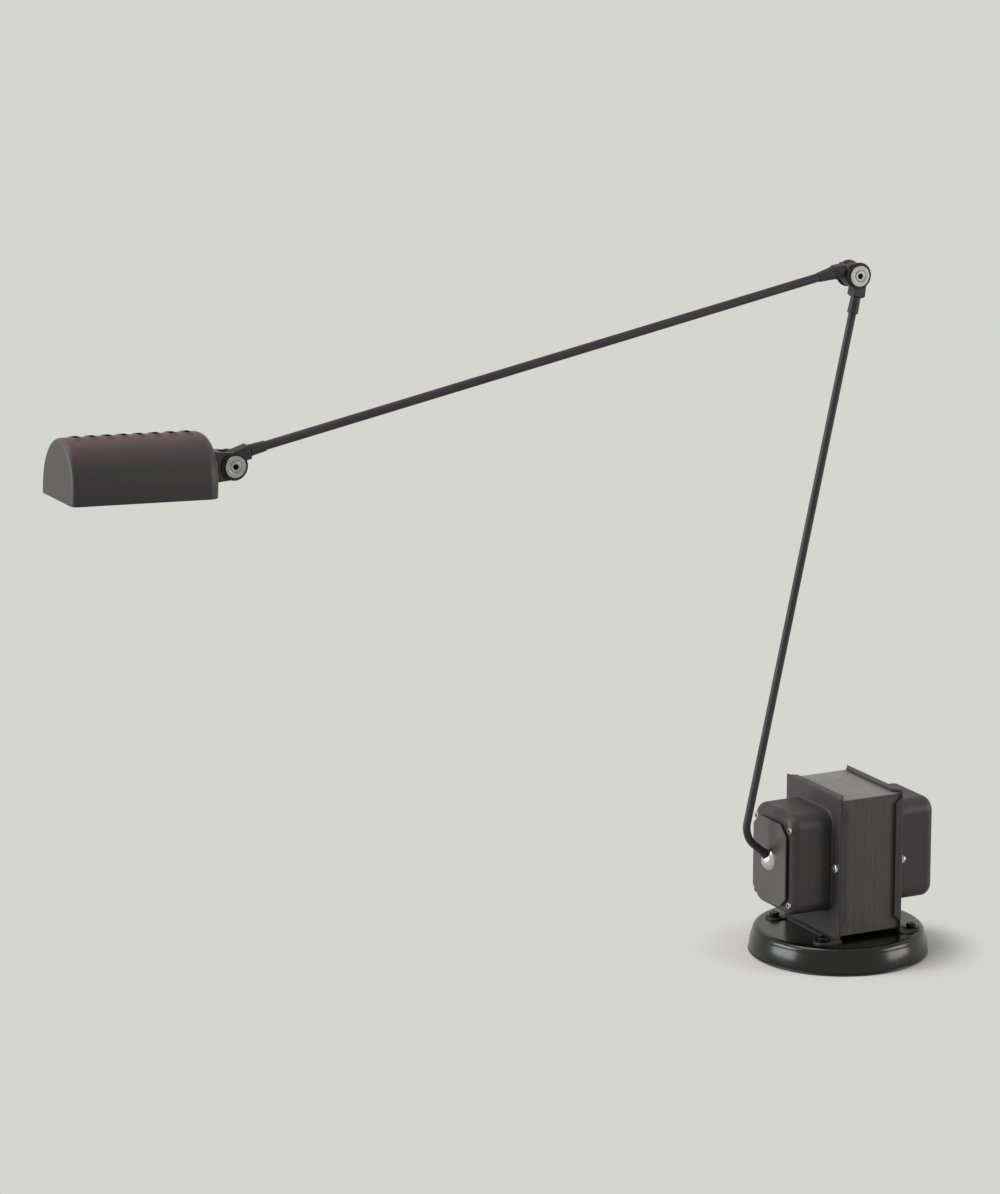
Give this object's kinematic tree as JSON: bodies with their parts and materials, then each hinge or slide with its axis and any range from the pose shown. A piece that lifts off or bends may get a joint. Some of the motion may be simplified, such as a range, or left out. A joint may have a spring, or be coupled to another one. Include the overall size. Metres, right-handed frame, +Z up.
{
  "type": "desk lamp",
  "caption": "Dark counterweight desk lamp: a laminated transformer on a round base disc carries two thin hinged rods and an arched, louvred lamp head.",
  "frame": {"origin": "centre of the base disc's underside, where the lamp stands on the table", "axes": "+Z up; X along the transformer, -X towards the lamp head and +X towards the switch; +Y completes the right-handed frame and the lamp is symmetric in Y"},
  "size_m": [0.6052, 0.118, 0.4557],
  "materials": {
    "black_enamel": "gloss",
    "grey_iron": "matte",
    "pad_rubber": "matte",
    "graphite_lacquer": "satin",
    "arm_lacquer": "satin",
    "head_lacquer": "satin",
    "lamination_steel": "satin",
    "zinc_steel": "satin",
    "tinted_brass": "satin",
    "plate_grey": "satin",
    "turned_aluminium": "turned",
    "reflector_aluminium": "polished",
    "black_plastic": "matte",
    "copper_wire": "enamelled",
    "lead_sleeving": "matte",
    "ceramic": "matte",
    "pin_metal": "plain",
    "bulb_glass": "clear"
  },
  "bodies": {
    "base": {"base_cover": "black_enamel", "base_ballast": "grey_iron", "base_pad": "pad_rubber", "foot_washers": "zinc_steel", "foot_screws": "zinc_steel", "core_stack": "lamination_steel", "coil_bobbin": "black_plastic", "primary_winding": "copper_wire", "secondary_winding": "copper_wire", "left_bell": "graphite_lacquer", "right_bell": "graphite_lacquer", "face_screws": "graphite_lacquer", "through_bolts": "tinted_brass", "through_bolt_nuts": "zinc_steel", "socket_plate": "plate_grey", "socket_backing_plate": "zinc_steel", "swivel_socket": "turned_aluminium", "swivel_bush": "black_plastic", "socket_screws": "zinc_steel", "switch_housing": "black_plastic", "cable_gland": "black_plastic", "gland_nut": "zinc_steel", "terminal_block": "black_plastic"},
    "rocker": {"switch_rocker": "black_plastic"},
    "lower_arm": {"lower_arm_tube": "arm_lacquer", "lower_arm_lead": "lead_sleeving", "swivel_collar": "turned_aluminium", "swivel_clip": "zinc_steel", "lower_arm_ferrule": "arm_lacquer", "elbow_knuckle": "arm_lacquer"},
    "upper_arm": {"elbow_fork": "arm_lacquer", "elbow_pin": "zinc_steel", "elbow_washers": "black_plastic", "elbow_caps": "turned_aluminium", "upper_arm_tube": "arm_lacquer", "upper_arm_lead": "lead_sleeving", "upper_arm_ferrule": "arm_lacquer", "head_knuckle": "arm_lacquer"},
    "head": {"head_bracket": "graphite_lacquer", "head_pin": "zinc_steel", "head_washers": "black_plastic", "head_caps": "turned_aluminium", "head_shell": "head_lacquer", "bracket_screws": "zinc_steel", "reflector": "reflector_aluminium", "lamp_holder": "ceramic", "holder_screws": "zinc_steel", "halogen_bulb": "bulb_glass", "bulb_pins": "pin_metal"}
  },
  "joints": [
    {"name": "arm_swivel", "type": "hinge", "parent": "base", "child": "lower_arm", "pos_m": [-0.0531, 0, 0.0704], "axis": [0.766, 0, -0.6428], "range_deg": [-40, 40]},
    {"name": "elbow", "type": "hinge", "parent": "lower_arm", "child": "upper_arm", "pos_m": [0.00323, 0, 0.44716], "axis": [0, 1, 0], "range_deg": [-34, 70]},
    {"name": "head_tilt", "type": "hinge", "parent": "upper_arm", "child": "head", "pos_m": [-0.42966, 0, 0.36505], "axis": [0, 1, 0], "range_deg": [-60, 60]},
    {"name": "switch_rock", "type": "hinge", "parent": "base", "child": "rocker", "pos_m": [0.057, 0, 0.084], "axis": [0, 1, 0], "range_deg": [0, 16]}
  ]
}
